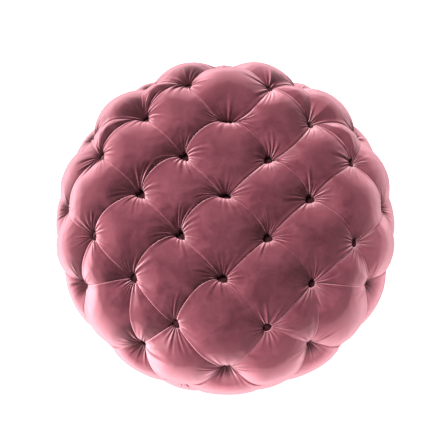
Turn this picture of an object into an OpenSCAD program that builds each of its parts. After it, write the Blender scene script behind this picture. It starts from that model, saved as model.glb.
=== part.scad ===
// Round deep-buttoned pouf: a wooden drum, padded with foam and fibre and covered in velvet,
// which buttons on twines draw down into diamonds. It stands on six glides.
// The origin is on the floor under the middle of the pouf, with Z up.

/* [Overall size] */
// Diameter over the crowns of the diamonds at the widest line
pouf_d = 800; // [790:5:880]
// Height from the floor to the crown of the top
pouf_h = 400; // [380:5:440]
// Radius of the round shoulder between the top and the side
shoulder_r = 180; // [165:5:190]
// Radius of the barrel curve of the side, below its widest line
barrel_r = 800; // [700:50:2000]

/* [Tufts] */
// How far the outermost tufts of the top stay inside the wall board
tuft_inset = 22.5; // [15:0.5:26]
// Depth of the tufts in the flat middle of the top, below the crown
top_sink = 46; // [38:1:48]
// Depth of the tufts of the side rings
side_sink = 40; // [34:1:46]
// Height angle of the first side ring on the curve of the shoulder
ring_a_angle = 32; // [29:1:35]
// Drop from one side ring to the next
ring_drop = 94; // [88:1:98]
// Turn of the side rings against the rows of the top
ring_turn = 2; // [0:0.5:4]
// Depth of a pleat halfway between two tufts
pleat_depth = 10; // [8:1:18]
// Share of a tuft's draw that is left halfway to the crown
slope_left = 0.18; // [0.1:0.02:0.3]

/* [Velvet] */
// Thickness of the velvet with its backing
velvet_t = 1.5; // [1:0.1:2]
// Depth of the pleats at the hem
hem_sink = 8; // [4:1:12]
// Width of the hem that is turned in under the base board
hem_flap = 28; // [25:1:40]

/* [Buttons and twines] */
// Radius of a covered button
button_r = 11; // [9:0.5:11.5]
// Height of a covered button
button_h = 6; // [4:0.5:8]
// Radius of the flat seat that the velvet has under a button
seat_r = 12.5; // [12:0.5:15]
// Radius of a button's wire shank
shank_r = 1.6; // [1.2:0.1:2]
// Radius of the hole in the velvet for the shank
eyelet_r = 3.5; // [3:0.1:4.5]
// Radius of the tufting twine
twine_r = 1; // [0.8:0.1:1.3]
// Radius of the needle hole through filling and foam
needle_r = 3; // [2.5:0.1:4]
// Radius of the twine holes in the boards
twine_hole_r = 2.5; // [2:0.1:3.5]
// Length of a toggle
toggle_l = 20; // [14:1:20]
// Radius of a toggle
toggle_r = 3; // [2:0.5:4]

/* [Padding] */
// Depth of the foam below the crowns, all filled with fibre
foam_sink = 54; // [52:1:60]
// Thickness of the foam pad on the deck
foam_top_t = 46; // [44:1:50]
// Thickness of the foam band at the widest line
foam_side_t = 30; // [27:1:34]

/* [Frame] */
// Thickness of the deck board
deck_t = 12; // [9:1:15]
// Thickness of the base board
base_t = 18; // [15:1:22]
// How far the base board stays inside the widest line
base_inset = 55; // [50:1:60]
// Thickness of the bent wall board
wall_t = 6; // [4:1:9]
// Width of an upright along the wall
upright_w = 36; // [30:1:38]
// Depth of an upright towards the middle
upright_depth = 40; // [34:1:50]
// Turn of the uprights, which keeps them clear of the twines
upright_turn = 24.5; // [23:0.5:25]

/* [Underside] */
// Radius of a glide
glide_r = 20; // [18:1:25]
// Height of a glide
glide_h = 21.4; // [18:0.2:30]
// Rounding of a glide's lower edge
glide_round = 3; // [1:0.5:5]
// Thickness of the dust cloth
cloth_t = 0.6; // [0.4:0.1:1]
// How far the dust cloth laps over the turned-in hem
cloth_lap = 16; // [12:1:20]
// Number of staples in the hem, and again in the dust cloth
staple_count = 24; // [12:12:36]
// Width of a staple
staple_w = 10; // [8:1:12]
// Length of a staple's legs in the base board
staple_leg = 7; // [5:1:12]
// Thickness of the staple wire
staple_wire = 0.6; // [0.5:0.1:0.8]

/* [Screws] */
// Radius of a screw's shank
screw_r = 2.2; // [1.8:0.1:3]
// Radius of a screw's head
screw_head_r = 4.4; // [4:0.1:6]
// Height of a screw's countersunk head
screw_head_h = 3; // [2:0.5:4]
// Length of a screw in an upright
screw_bite = 30; // [20:1:40]
// Clearance round a screw in its hole
screw_clear = 0.1; // [0.05:0.05:0.3]

/* [Hidden] */

// Clearance between two soft pieces that lie on each other
soft_gap = 0.3;
// How far a button's shank comes out of the back of the velvet
shank_end = 1.5;
// Tufts in each side ring, three for each quarter of the top's pattern
ring_count = 12;
ring_step = 360 / ring_count;
// Side panels of the cover, and the cells of each kind in one
panel_count = 3;
panel_cells = ring_count / panel_count;
// Half rows of the top: its tufts lie where the sum of both counts is even
last_tuft = 10;
last_diamond = 9;
// How far from a tuft to its cell's edge the slope bends
slope_share = 0.5;
wide_seat = 1.3;

crown_r = pouf_d / 2;
flat_r = crown_r - shoulder_r;
widest_z = pouf_h - shoulder_r;

base_z = glide_h + cloth_t;
base_top = base_z + base_t;
base_r = crown_r - base_inset;
foam_r = crown_r - foam_sink;
wall_r = foam_r - foam_side_t;
drum_r = wall_r - wall_t;
deck_top = pouf_h - foam_sink - foam_top_t;
deck_z = deck_top - deck_t;

// Heights at which the velvet leaves the barrel curve and turns in under the base board
hem_z = base_z + 24;
edge_z = base_z + 6;
edge_out = 18;
flap_r = base_r - hem_flap;

// Distance from one tuft of a row on the top to the next
tuft_pitch = 2 * (drum_r - tuft_inset) / sqrt(last_tuft);

// One upright stands over each glide, and has two screws at each end
upright_count = 6;
upright_r = drum_r - upright_depth / 2;
toggle_seat = sqrt(pow(drum_r, 2) - pow(toggle_l / 2, 2)) - toggle_r;
screw_spread = upright_w / 4;

// A glide's screw sits in a recess, and its tip stays inside the base board
recess_h = 6;
recess_r = screw_head_r + 1;
tip_cover = 4;
glide_bite = base_t - tip_cover;

// Levels under the base board: the hem, then its staples, then the dust cloth's lap
flap_z = base_z - velvet_t;
lap_z = flap_z - staple_wire;
lap_low_z = lap_z - cloth_t;
cloth_r = flap_r + cloth_lap;
hem_staple_r = flap_r + cloth_lap / 2;
cloth_edge = 3.5;
cloth_staple_r = cloth_r - cloth_edge;
lap_slope = 1;
staple_clear = 0.1;

// The fibre is laid on from two points on the axis, above and below the widest line
core_offset = 10;
upper_core = [0, 0, widest_z + core_offset];
lower_core = [0, 0, widest_z - core_offset];

// Small round pieces, rings as wide as the pouf and the long curves of the profile are drawn
// with more sides in turn. A path that a needle pierces has six sides, as has the twine.
$fn = 64;
wide = 192;
profile = 1440;
pierced = 6;

// Where the crown surface lies: the flat top, the shoulder and the barrel side.
// Each curve has its centre on the level of the widest line.
function on_top(p) = p.z >= widest_z && norm([p.x, p.y]) <= flat_r;
function curve_r(p) = p.z < widest_z ? barrel_r : shoulder_r;
function curve_centre(p) = crown_r - curve_r(p);
function lean(p) =
    let (v = [norm([p.x, p.y]) - curve_centre(p), p.z - widest_z])
    v / norm(v);
function around(p) = [p.x, p.y] / norm([p.x, p.y]);
function outward(p) = on_top(p) ? [0, 0, 1] : concat(around(p) * lean(p).x, lean(p).y);
function foot(p) =
    on_top(p)
        ? [p.x, p.y, pouf_h]
        : concat(
            around(p) * (curve_centre(p) + curve_r(p) * lean(p).x),
            widest_z + curve_r(p) * lean(p).y
        );
function sunk(p, depth) = foot(p) - outward(p) * depth;
function sink_of(p) = norm(foot(p) - p);
function barrel_at(z) =
    z < widest_z ? crown_r - barrel_r + sqrt(pow(barrel_r, 2) - pow(widest_z - z, 2)) : crown_r;
function polar(r, angle, z) = [r * cos(angle), r * sin(angle), z];

// Places of the tufts. Those of the top are counted in half pitches from the middle.
function whole_turn(k) = (k + ring_count) % ring_count;
function ring_angle(ring, k) = (whole_turn(k) + (ring == 1 ? 0.5 : 0)) * ring_step + ring_turn;
ring_a_r = flat_r + (shoulder_r - side_sink) * cos(ring_a_angle);
ring_a_z = widest_z + (shoulder_r - side_sink) * sin(ring_a_angle);
function ring_z(ring) = ring_a_z - ring * ring_drop;
function ring_r(ring) = ring == 0 ? ring_a_r : barrel_at(ring_z(ring)) - side_sink;
function ring_tuft(ring, k) = polar(ring_r(ring), ring_angle(ring, k), ring_z(ring));
function top_tuft(u, v) = [u * tuft_pitch / 2, v * tuft_pitch / 2, pouf_h - top_sink];
function tuft(u, v) =
    u * u + v * v <= last_tuft
        ? top_tuft(u, v)
        : ring_tuft(0, round(atan2(v, u) / ring_step));
function hem_point(k) =
    polar(barrel_at(hem_z) - hem_sink, ring_angle(2, k), hem_z);
function is_hem(p) = p.z == hem_z;

top_tufts = [
    for (u = [-3 : 3], v = [-3 : 3])
        if ((abs(u) + abs(v)) % 2 == 0 && u * u + v * v <= last_tuft) top_tuft(u, v)
];
function ring_tufts(ring) = [for (k = [0 : ring_count - 1]) ring_tuft(ring, k)];

// Cells of the cover, each a list of corners that runs anticlockwise seen from outside.
// A quarter turn of the top's pattern is three steps of the rings.
function turned(u, v, quarter) =
    quarter == 0 ? tuft(u, v) : turned(-v, u, quarter - 1);
top_cells = concat(
    [
        for (u = [-3 : 3], v = [-3 : 3])
            if ((abs(u) + abs(v)) % 2 == 1 && u * u + v * v <= last_diamond)
                [tuft(u + 1, v), tuft(u, v + 1), tuft(u - 1, v), tuft(u, v - 1)]
    ],
    [
        for (q = [0 : 3])
            [turned(3, 1, q), ring_tuft(0, 3 * q + 1), turned(2, 2, q)]
    ],
    [
        for (q = [0 : 3])
            [turned(2, 2, q), ring_tuft(0, 3 * q + 2), turned(1, 3, q)]
    ]
);
function upper_tuft(k) =
    let (step = k % 3)
    turned(3 - step, 1 + step, floor(k / 3));
function side_cells(first, last) = concat(
    [
        for (k = [first : last])
            [upper_tuft(k), ring_tuft(0, k), ring_tuft(1, k), ring_tuft(0, k + 1)]
    ],
    [
        for (k = [first : last])
            [ring_tuft(0, k), ring_tuft(1, k - 1), ring_tuft(2, k), ring_tuft(1, k)]
    ],
    [
        for (k = [first : last])
            [
                ring_tuft(1, k), ring_tuft(2, k), hem_point(k),
                hem_point(k + 1), ring_tuft(2, k + 1)
            ]
    ]
);

// The form of the velvet round one tuft. A target is the middle of a pleat or of a cell.
function middle(cell) = [for (p = cell) 1] * cell / len(cell);
// A pleat that ends at the hem runs straight on to it.
function aim(a, b) = is_hem(a) == is_hem(b) ? (a + b) / 2 : is_hem(a) ? a : b;
function aim_rest(a, b) =
    is_hem(a) && is_hem(b) ? 0 : is_hem(a) || is_hem(b) ? hem_sink : pleat_depth;
function targets(cell, i) =
    let (
        n = len(cell),
        p = cell[i],
        after = cell[(i + 1) % n],
        before = cell[(i + n - 1) % n]
    )
    [
        [aim(p, after), aim_rest(p, after)],
        [middle(cell), 0],
        [aim(before, p), aim_rest(before, p)]
    ];
// A seat over the hem has corners only six ways, so it is wider to clear its button
function seat_at(p) = p.z == ring_z(2) ? seat_r * wide_seat : seat_r;
function beside(p, target, r, below) =
    let (
        n = outward(p),
        v = target - p,
        flat = v - n * (v * n)
    )
    p + flat / norm(flat) * r - n * below;
function on_slope(p, target, rest, below) =
    sunk(
        p + (target - p) * slope_share,
        rest + (sink_of(p) - rest) * slope_left + below
    );
// Rows of three points, from the button's seat out to the edge of the cell's quarter
function rows(cell, i, below) =
    let (p = cell[i], aims = targets(cell, i))
    [
        [for (t = aims) beside(p, t[0], seat_at(p), below)],
        [for (t = aims) on_slope(p, t[0], t[1], below)],
        [for (t = aims) sunk(t[0], t[1] + below)]
    ];

// Triangles run clockwise seen from outside. The faces of a cloth's back are flipped.
function flip(tris) = [for (t = tris) [t[0], t[2], t[1]]];
function quad(a, b, c, d) = [[a, b, c], [a, c, d]];
function strip(low, high) = [
    [low[0], low[1], high[1]],
    [low[0], high[1], high[0]],
    [low[1], low[2], high[1]],
    [low[2], high[2], high[1]]
];
function eyelet(cell, i, below) =
    let (p = cell[i], aims = targets(cell, i))
    [beside(p, aims[0][0], eyelet_r, below), beside(p, aims[2][0], eyelet_r, below)];
function seat_ring(hole, seat) = [
    [hole[0], seat[1], seat[0]],
    [hole[0], hole[1], seat[1]],
    [hole[1], seat[2], seat[1]]
];
function corner_face(cell, i, below, pierced_seat) =
    let (r = rows(cell, i, below), p = cell[i])
    is_hem(p)
        ? flip([r[2]])
        : concat(
            pierced_seat
                ? seat_ring(eyelet(cell, i, below), r[0])
                : let (c = p - outward(p) * below) [[c, r[0][1], r[0][0]], [c, r[0][2], r[0][1]]],
            strip(r[0], r[1]),
            strip(r[1], r[2])
        );
function cells_face(cells, below, pierced_seat) = [
    for (cell = cells, i = [0 : len(cell) - 1])
        each corner_face(cell, i, below, pierced_seat)
];

// Edges that only one cell of a piece has. The hem's edge is left out.
function has_edge(cells, a, b) =
    len([
        for (cell = cells, i = [0 : len(cell) - 1])
            if (cell[i] == a && cell[(i + 1) % len(cell)] == b) 1
    ]) > 0;
function border(cells) = [
    for (cell = cells, i = [0 : len(cell) - 1])
        let (a = cell[i], b = cell[(i + 1) % len(cell)])
        if (!(is_hem(a) && is_hem(b)) && !has_edge(cells, b, a)) [a, b]
];
function half_edge(p, m, rest, below, pierced_seat) =
    is_hem(p)
        ? []
        : [
            pierced_seat ? beside(p, m, eyelet_r, below) : p - outward(p) * below,
            beside(p, m, seat_at(p), below),
            on_slope(p, m, rest, below)
        ];
function backwards(list) = [for (i = [len(list) - 1 : -1 : 0]) list[i]];
function edge_line(edge, below, pierced_seat) =
    let (m = aim(edge[0], edge[1]), rest = aim_rest(edge[0], edge[1]))
    concat(
        half_edge(edge[0], m, rest, below, pierced_seat),
        [sunk(m, rest + below)],
        backwards(half_edge(edge[1], m, rest, below, pierced_seat))
    );
function band(front, back) = [
    for (i = [0 : len(front) - 2]) each quad(front[i], front[i + 1], back[i + 1], back[i])
];

// The lower edge, as lines of points that run anticlockwise from one hem point to another
function hem_line(first, last, below) = [
    for (k = [first : last])
        each concat(
            [sunk(hem_point(k), hem_sink + below)],
            k < last ? [sunk((hem_point(k) + hem_point(k + 1)) / 2, below)] : []
        )
];
function hoop(first, last, r, z) = [
    for (k = [2 * first : 2 * last])
        let (j = k % (2 * ring_count))
        polar(r, j * ring_step / 2 + ring_turn, z)
];
// A ring of straight chords stays this far out to clear a round edge
function clear_of(r) = r / cos(ring_step / 4) + soft_gap;
function turn_in(first, last, back) =
    let (t = back ? velvet_t : 0)
    [
        hem_line(first, last, t),
        hoop(first, last, base_r + edge_out - t, edge_z + t / 2),
        hoop(first, last, clear_of(base_r) + velvet_t - t, flap_z + t),
        hoop(first, last, clear_of(flap_r), flap_z + t)
    ];
function column(lines, i) = [for (line = lines) line[i]];
function hem_faces(first, last) =
    let (
        front = turn_in(first, last, false),
        back = turn_in(first, last, true),
        end = len(front[0]) - 1
    )
    concat(
        [for (i = [0 : len(front) - 2]) each band(front[i], front[i + 1])],
        flip([for (i = [0 : len(back) - 2]) each band(back[i], back[i + 1])]),
        band(front[3], back[3]),
        band(column(front, 0), column(back, 0)),
        band(column(back, end), column(front, end))
    );

module skin(tris) {
    polyhedron(
        points = [for (t = tris, p = t) p],
        faces = [for (i = [0 : len(tris) - 1]) [3 * i, 3 * i + 1, 3 * i + 2]]
    );
}

// One cloth of even thickness over the given cells, with an eyelet at each tuft
function cloth(cells) =
    let (
        full = [for (cell = cells, i = [0 : len(cell) - 1]) if (!is_hem(cell[i])) [cell, i]]
    )
    concat(
        cells_face(cells, 0, true),
        flip(cells_face(cells, velvet_t, true)),
        [
            for (c = full)
                let (front = eyelet(c[0], c[1], 0), back = eyelet(c[0], c[1], velvet_t))
                each quad(front[1], front[0], back[0], back[1])
        ],
        [
            for (e = border(cells))
                each band(edge_line(e, 0, true), edge_line(e, velvet_t, true))
        ]
    );

// A lump of fibre that reaches from the axis out to the back of the velvet
function lump(cells) =
    let (below = velvet_t + soft_gap)
    concat(
        cells_face(cells, below, false),
        [
            for (e = border(cells))
                let (line = edge_line(e, below, false))
                for (i = [0 : len(line) - 2]) [line[i], line[i + 1], upper_core]
        ]
    );
function lump_floor() =
    let (
        below = velvet_t + soft_gap,
        rim = hem_line(0, ring_count, below),
        low = hoop(0, ring_count, base_r + edge_out - below, edge_z + below)
    )
    concat(
        band(rim, low),
        [for (i = [0 : len(low) - 2]) [low[i], low[i + 1], lower_core]]
    );

module along(from, direction) {
    length = norm([direction.x, direction.y]);
    translate(from)
        rotate([0, atan2(length, direction.z), atan2(direction.y, direction.x)]) children();
}

module rod(from, to, r, sides) {
    along(from, to - from) cylinder(r = r, h = norm(to - from), $fn = sides);
}

// A twine runs from the end of its button's shank to the back of its board.
// The rings are counted from 0 at the top, and the tufts of the top have ring -1.
shank_l = velvet_t + shank_end;
function tufts(ring) = ring < 0 ? top_tufts : ring_tufts(ring);
function twine_start(p) = p - outward(p) * shank_l;
function twine_end(p, ring) =
    ring < 0
        ? [p.x, p.y, deck_z]
        : p - outward(p) * ((norm([p.x, p.y]) - drum_r) / norm([outward(p).x, outward(p).y]));

// Paths from outside the velvet's seat, past the back of the board
module needle_paths(rings, r, sides) {
    for (ring = rings, p = tufts(ring))
        let (start = p + outward(p), end = twine_end(p, ring))
        rod(start, end + (end - start) / norm(end - start), r, sides);
}

// Half section of the crown surface, drawn in by a depth
module body_profile(depth) {
    intersection() {
        translate([flat_r, widest_z]) circle(r = shoulder_r - depth, $fn = profile);
        translate([flat_r, widest_z]) square([crown_r, pouf_h]);
    }
    translate([0, widest_z]) square([flat_r, shoulder_r - depth]);
    intersection() {
        translate([crown_r - barrel_r, widest_z]) circle(r = barrel_r - depth, $fn = profile);
        translate([0, base_top]) square([crown_r, widest_z - base_top]);
    }
}

module padded_drum(grow) {
    rotate_extrude($fn = wide) body_profile(foam_sink - grow);
    translate([0, 0, base_z]) cylinder(r = base_r + grow, h = base_t + grow, $fn = wide);
    translate([0, 0, base_top])
        cylinder(r = wall_r + grow, h = deck_top - base_top + grow, $fn = wide);
}

module staple_legs(r, first, last, low, grow) {
    for (i = [first : last])
        rotate([0, 0, (i + 0.5) * 360 / staple_count + ring_turn])
            for (side = [-1, 1])
                translate([r, side * (staple_w - staple_wire) / 2, low])
                    linear_extrude(base_z + staple_leg - low + grow)
                        square(staple_wire + 2 * grow, center = true);
}

module staples(r, crown_z) {
    staple_legs(r, 0, staple_count - 1, crown_z, 0);
    for (i = [0 : staple_count - 1])
        rotate([0, 0, (i + 0.5) * 360 / staple_count + ring_turn])
            translate([r, 0, crown_z - staple_wire / 2])
                cube([staple_wire, staple_w, staple_wire], center = true);
}

// A countersunk screw that points down from the level of its head, grown for its hole
module screw(length, grow) {
    translate([0, 0, -screw_head_h])
        cylinder(r1 = screw_r + grow, r2 = screw_head_r + grow, h = screw_head_h + grow / 10);
    translate([0, 0, -length - grow]) cylinder(r = screw_r + grow, h = length + grow);
}

module at_uprights() {
    for (i = [1 : upright_count]) at_upright(i) children();
}

module at_upright(i) {
    rotate([0, 0, (i - 1) * 360 / upright_count + upright_turn])
        translate([upright_r, 0, 0]) children();
}

module deck_screw_set(grow) {
    at_uprights()
        for (side = [-1, 1])
            translate([0, side * screw_spread, deck_top]) screw(deck_t + screw_bite, grow);
}

module base_screw_set(grow) {
    at_uprights()
        for (side = [-1, 1])
            translate([0, side * screw_spread, base_z])
                rotate([180, 0, 0]) screw(base_t + screw_bite, grow);
}

module glide_screw_set(grow) {
    at_uprights()
        translate([0, 0, recess_h])
            rotate([180, 0, 0]) screw(base_z - recess_h + glide_bite, grow);
}

module cover_top() {
    color("#b0606c") skin(cloth(top_cells));
}

module cover_side(panel) {
    first = (panel - 1) * panel_cells;
    last = first + panel_cells;
    share = staple_count / panel_count;
    color("#b86a75")
        difference() {
            skin(concat(cloth(side_cells(first, last - 1)), hem_faces(first, last)));
            for (r = [hem_staple_r, cloth_staple_r])
                staple_legs(r, (panel - 1) * share, panel * share - 1, lap_low_z, staple_clear);
        }
}

module filling_top() {
    color("#f4f1ea")
        difference() {
            skin(lump(top_cells));
            padded_drum(soft_gap);
            needle_paths([-1, 0], needle_r, pierced);
        }
}

module filling_side() {
    color("#efe9dd")
        difference() {
            skin(concat(lump(side_cells(0, ring_count - 1)), lump_floor()));
            padded_drum(soft_gap);
            needle_paths([-1 : 2], needle_r, pierced);
        }
}

module foam_top() {
    color("#e3c35a")
        difference() {
            intersection() {
                rotate_extrude($fn = wide) body_profile(foam_sink);
                translate([0, 0, deck_top]) cylinder(r = crown_r, h = pouf_h, $fn = wide);
            }
            needle_paths([-1, 0], needle_r, pierced);
        }
}

module foam_side() {
    color("#d9b64c")
        difference() {
            rotate_extrude($fn = wide)
                difference() {
                    body_profile(foam_sink);
                    square([wall_r, pouf_h]);
                    translate([0, deck_top]) square([crown_r, pouf_h]);
                }
            needle_paths([0 : 2], needle_r, pierced);
        }
}

module deck_board() {
    color("#cfa873")
        difference() {
            translate([0, 0, deck_z]) cylinder(r = drum_r, h = deck_t, $fn = wide);
            needle_paths([-1], twine_hole_r, $fn);
            deck_screw_set(screw_clear);
        }
}

module wall_board() {
    color("#b58a5a")
        difference() {
            translate([0, 0, base_top])
                cylinder(r = wall_r, h = deck_top - base_top, $fn = wide);
            translate([0, 0, base_top])
                cylinder(r = drum_r, h = deck_top - base_top, $fn = wide);
            needle_paths([0 : 2], twine_hole_r, $fn);
        }
}

module base_board() {
    color("#cfa873")
        difference() {
            translate([0, 0, base_z]) cylinder(r = base_r, h = base_t, $fn = wide);
            base_screw_set(screw_clear);
            glide_screw_set(screw_clear);
            for (r = [hem_staple_r, cloth_staple_r])
                staple_legs(r, 0, staple_count - 1, lap_low_z, staple_clear);
        }
}

module upright(i) {
    color("#dcbb8a")
        difference() {
            intersection() {
                at_upright(i)
                    translate([-upright_depth / 2, -upright_w / 2, base_top])
                        cube([upright_depth, upright_w, deck_z - base_top]);
                cylinder(r = drum_r, h = pouf_h, $fn = wide);
            }
            deck_screw_set(screw_clear);
            base_screw_set(screw_clear);
        }
}

module buttons(ring) {
    color("#8f4552")
        for (p = tufts(ring))
            along(p, outward(p)) {
                rotate_extrude()
                    polygon([
                        [0, 0], [button_r, 0], [button_r, button_h / 4],
                        [button_r * 0.8, button_h * 0.7], [button_r * 0.4, button_h * 0.94],
                        [0, button_h]
                    ]);
                translate([0, 0, -shank_l]) cylinder(r = shank_r, h = shank_l);
            }
}

module twines(ring) {
    color("#e8e2d0")
        for (p = tufts(ring)) rod(twine_start(p), twine_end(p, ring), twine_r, pierced);
}

module toggles(ring) {
    color("#c9a06a")
        for (p = tufts(ring))
            let (end = twine_end(p, ring), turn = atan2(end.y, end.x))
            if (ring < 0)
                translate([end.x, end.y, deck_z - toggle_r])
                    rotate([0, 90, turn])
                        cylinder(r = toggle_r, h = toggle_l, center = true, $fn = 12);
            else
                translate(polar(toggle_seat, turn, end.z))
                    rotate([90, 0, turn])
                        cylinder(r = toggle_r, h = toggle_l, center = true, $fn = 12);
}

module deck_screws() {
    color("#9a9ca0") deck_screw_set(0);
}

module base_screws() {
    color("#9a9ca0") base_screw_set(0);
}

module dust_cloth() {
    color("#1f1f20")
        difference() {
            rotate_extrude($fn = wide)
                polygon([
                    [0, base_z - cloth_t], [flap_r - lap_slope - cloth_t, base_z - cloth_t],
                    [flap_r - lap_slope, lap_low_z], [cloth_r, lap_low_z],
                    [cloth_r, lap_z], [flap_r, lap_z], [flap_r - lap_slope, base_z], [0, base_z]
                ]);
            glide_screw_set(screw_clear);
            staple_legs(cloth_staple_r, 0, staple_count - 1, lap_low_z - 1, staple_clear);
        }
}

module hem_staples() {
    color("#b9bcc0") staples(hem_staple_r, flap_z);
}

module cloth_staples() {
    color("#b9bcc0") staples(cloth_staple_r, lap_low_z);
}

module glide(i) {
    color("#232325")
        difference() {
            at_upright(i)
                rotate_extrude() {
                    translate([0, glide_round]) square([glide_r, glide_h - glide_round]);
                    square([glide_r - glide_round, glide_round]);
                    translate([glide_r - glide_round, glide_round]) circle(r = glide_round);
                }
            at_upright(i)
                translate([0, 0, -1]) cylinder(r = recess_r, h = recess_h + 1);
            glide_screw_set(screw_clear);
        }
}

module glide_screws() {
    color("#9a9ca0") glide_screw_set(0);
}

cover_top();
cover_side(1);  // cover_side_1
cover_side(2);  // cover_side_2
cover_side(3);  // cover_side_3
filling_top();
filling_side();
foam_top();
foam_side();
deck_board();
wall_board();
base_board();
upright(1);  // upright_1
upright(2);  // upright_2
upright(3);  // upright_3
upright(4);  // upright_4
upright(5);  // upright_5
upright(6);  // upright_6
buttons(-1);  // buttons_top
buttons(0);  // buttons_ring_a
buttons(1);  // buttons_ring_b
buttons(2);  // buttons_ring_c
twines(-1);  // twines_top
twines(0);  // twines_ring_a
twines(1);  // twines_ring_b
twines(2);  // twines_ring_c
toggles(-1);  // toggles_top
toggles(0);  // toggles_ring_a
toggles(1);  // toggles_ring_b
toggles(2);  // toggles_ring_c
deck_screws();
base_screws();
dust_cloth();
hem_staples();
cloth_staples();
glide(1);  // glide_1
glide(2);  // glide_2
glide(3);  // glide_3
glide(4);  // glide_4
glide(5);  // glide_5
glide(6);  // glide_6
glide_screws();
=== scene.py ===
import bpy, math
import numpy as np
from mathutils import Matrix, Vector


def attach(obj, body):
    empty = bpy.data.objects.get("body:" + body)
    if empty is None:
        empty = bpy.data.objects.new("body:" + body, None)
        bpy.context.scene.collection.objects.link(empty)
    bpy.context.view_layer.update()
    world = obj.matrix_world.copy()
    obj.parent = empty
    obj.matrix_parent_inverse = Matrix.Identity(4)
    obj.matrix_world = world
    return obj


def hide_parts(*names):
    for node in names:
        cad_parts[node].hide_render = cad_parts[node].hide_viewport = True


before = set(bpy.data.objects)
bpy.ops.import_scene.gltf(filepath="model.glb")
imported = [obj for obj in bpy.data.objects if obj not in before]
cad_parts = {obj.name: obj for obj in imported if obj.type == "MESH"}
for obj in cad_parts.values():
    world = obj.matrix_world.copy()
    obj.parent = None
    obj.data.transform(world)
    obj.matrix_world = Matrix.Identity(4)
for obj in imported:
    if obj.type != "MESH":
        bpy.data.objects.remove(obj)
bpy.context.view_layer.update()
scene = bpy.context.scene


def linearColor(hexColor):
    # sRGB hex to the linear values that nodes take
    parts = [int(hexColor[i:i + 2], 16) / 255 for i in (1, 3, 5)]
    return [c / 12.92 if c <= 0.04045 else ((c + 0.055) / 1.055) ** 2.4 for c in parts] + [1.0]


def newMaterial(name):
    material = bpy.data.materials.new(name)
    material.use_nodes = True
    shader = next(n for n in material.node_tree.nodes if n.type == "BSDF_PRINCIPLED")
    return material, shader, material.node_tree.links


def addNode(material, kind, links=(), sockets=None, **values):
    # sockets sets inputs by number and values sets them by name, with _ for each space;
    # a name that starts with _ is a property of the node
    node = material.node_tree.nodes.new(kind)
    for key, value in values.items():
        if key.startswith("_"):
            setattr(node, key[1:], value)
        else:
            node.inputs[key.replace("_", " ")].default_value = value
    for number, value in (sockets or {}).items():
        node.inputs[number].default_value = value
    for output, socket in links:
        material.node_tree.links.new(output, node.inputs[socket])
    return node


def deselectAll():
    if bpy.context.object and bpy.context.object.mode != "OBJECT":
        bpy.ops.object.mode_set(mode="OBJECT")
    bpy.ops.object.select_all(action="DESELECT")


def meshPiece(name, points, faces, material, attributes):
    mesh = bpy.data.meshes.new(name)
    mesh.from_pydata(points.tolist(), [], faces)
    mesh.validate()
    for attribute, values in attributes.items():
        mesh.attributes.new(attribute, "FLOAT", "POINT").data.foreach_set("value", values)
    mesh.materials.append(material)
    mesh.polygons.foreach_set("use_smooth", [True] * len(mesh.polygons))
    piece = bpy.data.objects.new(name, mesh)
    scene.collection.objects.link(piece)
    return piece


def standIn(piece, node):
    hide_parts(node)
    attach(piece, "root")


def turnTo(place, aim):
    return (Vector(aim) - Vector(place)).to_track_quat("-Z", "Y").to_euler()


camera = {"place": (0.0047, -0.481, 1.6585), "aim": (-0.0086, -0.0342, 0.354),
          "lens": 51.51, "sensor": 36, "nearest": 0.01}


def placeCamera():
    data = bpy.data.cameras.new("camera")
    data.lens = camera["lens"]
    data.sensor_width = camera["sensor"]
    data.clip_start = camera["nearest"]
    looker = bpy.data.objects.new("camera", data)
    looker.location = camera["place"]
    looker.rotation_euler = turnTo(camera["place"], camera["aim"])
    scene.collection.objects.link(looker)
    scene.camera = looker


placeCamera()
print("camera placed")

# the pouf's crown surface, in metres: a flat top, a round shoulder and a barrel side
pouf = {"radius": 0.400, "height": 0.400, "shoulder": 0.180, "barrel": 0.800,
        "baseZ": 0.022, "hemRise": 0.024}
flatRadius = pouf["radius"] - pouf["shoulder"]
widestZ = pouf["height"] - pouf["shoulder"]
hemZ = pouf["baseZ"] + pouf["hemRise"]

# tufts: a square lattice turned by 45 degrees on the top, and rings down the side
tufts = {
    # half pitches from the middle to the last row, and to the last tufts, squared
    "rows": 3, "topReach": 10,
    # radius of the last tufts before they are drawn in, and how far that is
    "lastRadius": 0.310, "inset": 0.0225,
    "topZ": 0.354, "sideSink": 0.040,
    "rings": 3, "around": 12, "turn": 2.0,
    # degrees up the shoulder of the first ring, and the way down from it to the next
    "ringAngle": 32, "ringDrop": 0.094,
}
halfPitch = (tufts["lastRadius"] - tufts["inset"]) / math.sqrt(tufts["topReach"])
stepAround = 360 / tufts["around"]


def crownFoot(points):
    # closest point of the crown surface, and the direction out of it
    points = np.atleast_2d(points)
    radius = np.hypot(points[:, 0], points[:, 1])
    z = points[:, 2]
    curve = np.where(z < widestZ, pouf["barrel"], pouf["shoulder"])
    centre = pouf["radius"] - curve
    across, up = radius - centre, z - widestZ
    length = np.hypot(across, up)
    across, up = across / length, up / length
    aroundX = points[:, 0] / np.maximum(radius, 1e-9)
    aroundY = points[:, 1] / np.maximum(radius, 1e-9)
    footRadius = centre + curve * across
    foot = np.stack([aroundX * footRadius, aroundY * footRadius, widestZ + curve * up], 1)
    out = np.stack([aroundX * across, aroundY * across, up], 1)
    flat = (z >= widestZ) & (radius <= flatRadius)
    foot[flat] = np.stack([points[flat, 0], points[flat, 1],
                           np.full(flat.sum(), pouf["height"])], 1)
    out[flat] = (0, 0, 1)
    return foot, out


def barrelAt(z):
    return pouf["radius"] - pouf["barrel"] + math.sqrt(pouf["barrel"] ** 2 - (widestZ - z) ** 2)


def polar(radius, degrees, z):
    a = math.radians(degrees)
    return (radius * math.cos(a), radius * math.sin(a), z)


def isTop(u, v):
    return u * u + v * v <= tufts["topReach"]


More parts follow.
